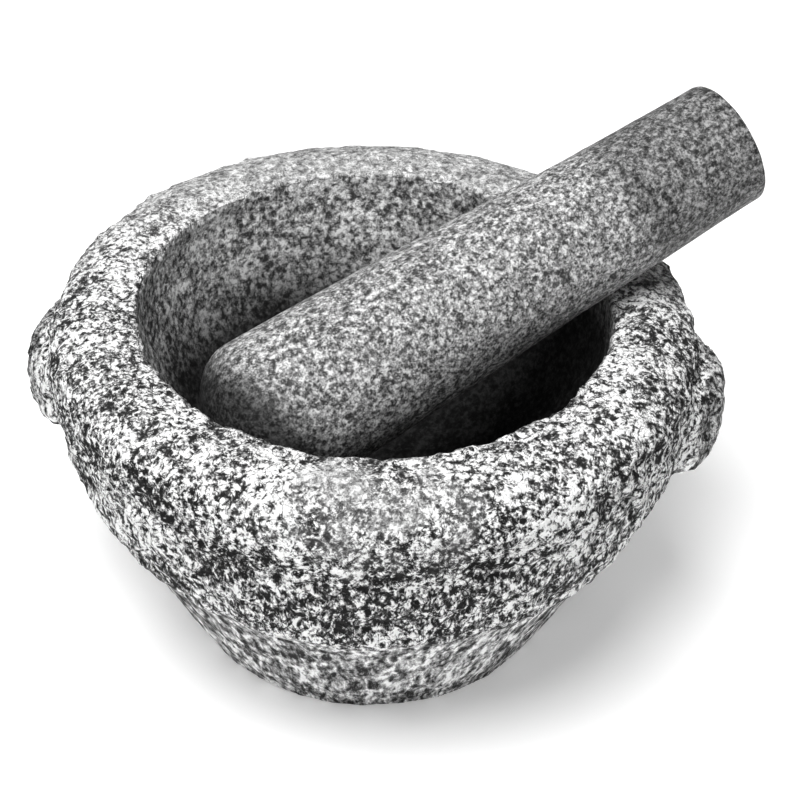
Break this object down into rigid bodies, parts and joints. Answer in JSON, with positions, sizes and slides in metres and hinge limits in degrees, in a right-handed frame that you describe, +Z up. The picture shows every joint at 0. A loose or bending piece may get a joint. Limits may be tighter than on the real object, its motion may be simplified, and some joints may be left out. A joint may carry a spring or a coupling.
{
  "type": "molcajete",
  "caption": "Granite mortar with a round foot, a broad rounded rim and side lugs, and a tapered granite pestle lying in the bowl.",
  "frame": {"origin": "centre of the foot's flat underside", "axes": "+Z up, +X out through the middle of one side lug"},
  "size_m": [0.2277, 0.204, 0.1734],
  "materials": {
    "mortar_granite": "rough-hewn speckled granite, finer inside the bowl and on the foot",
    "pestle_granite": "honed fine-grained granite"
  },
  "bodies": {
    "mortar_body": {"mortar": "mortar_granite"},
    "pestle_body": {"pestle": "pestle_granite"}
  },
  "joints": [
    {"name": "pestle_lift", "type": "slide", "parent": "mortar_body", "child": "pestle_body", "axis": [0, 0, 1], "range_m": [0, 0.08]}
  ]
}
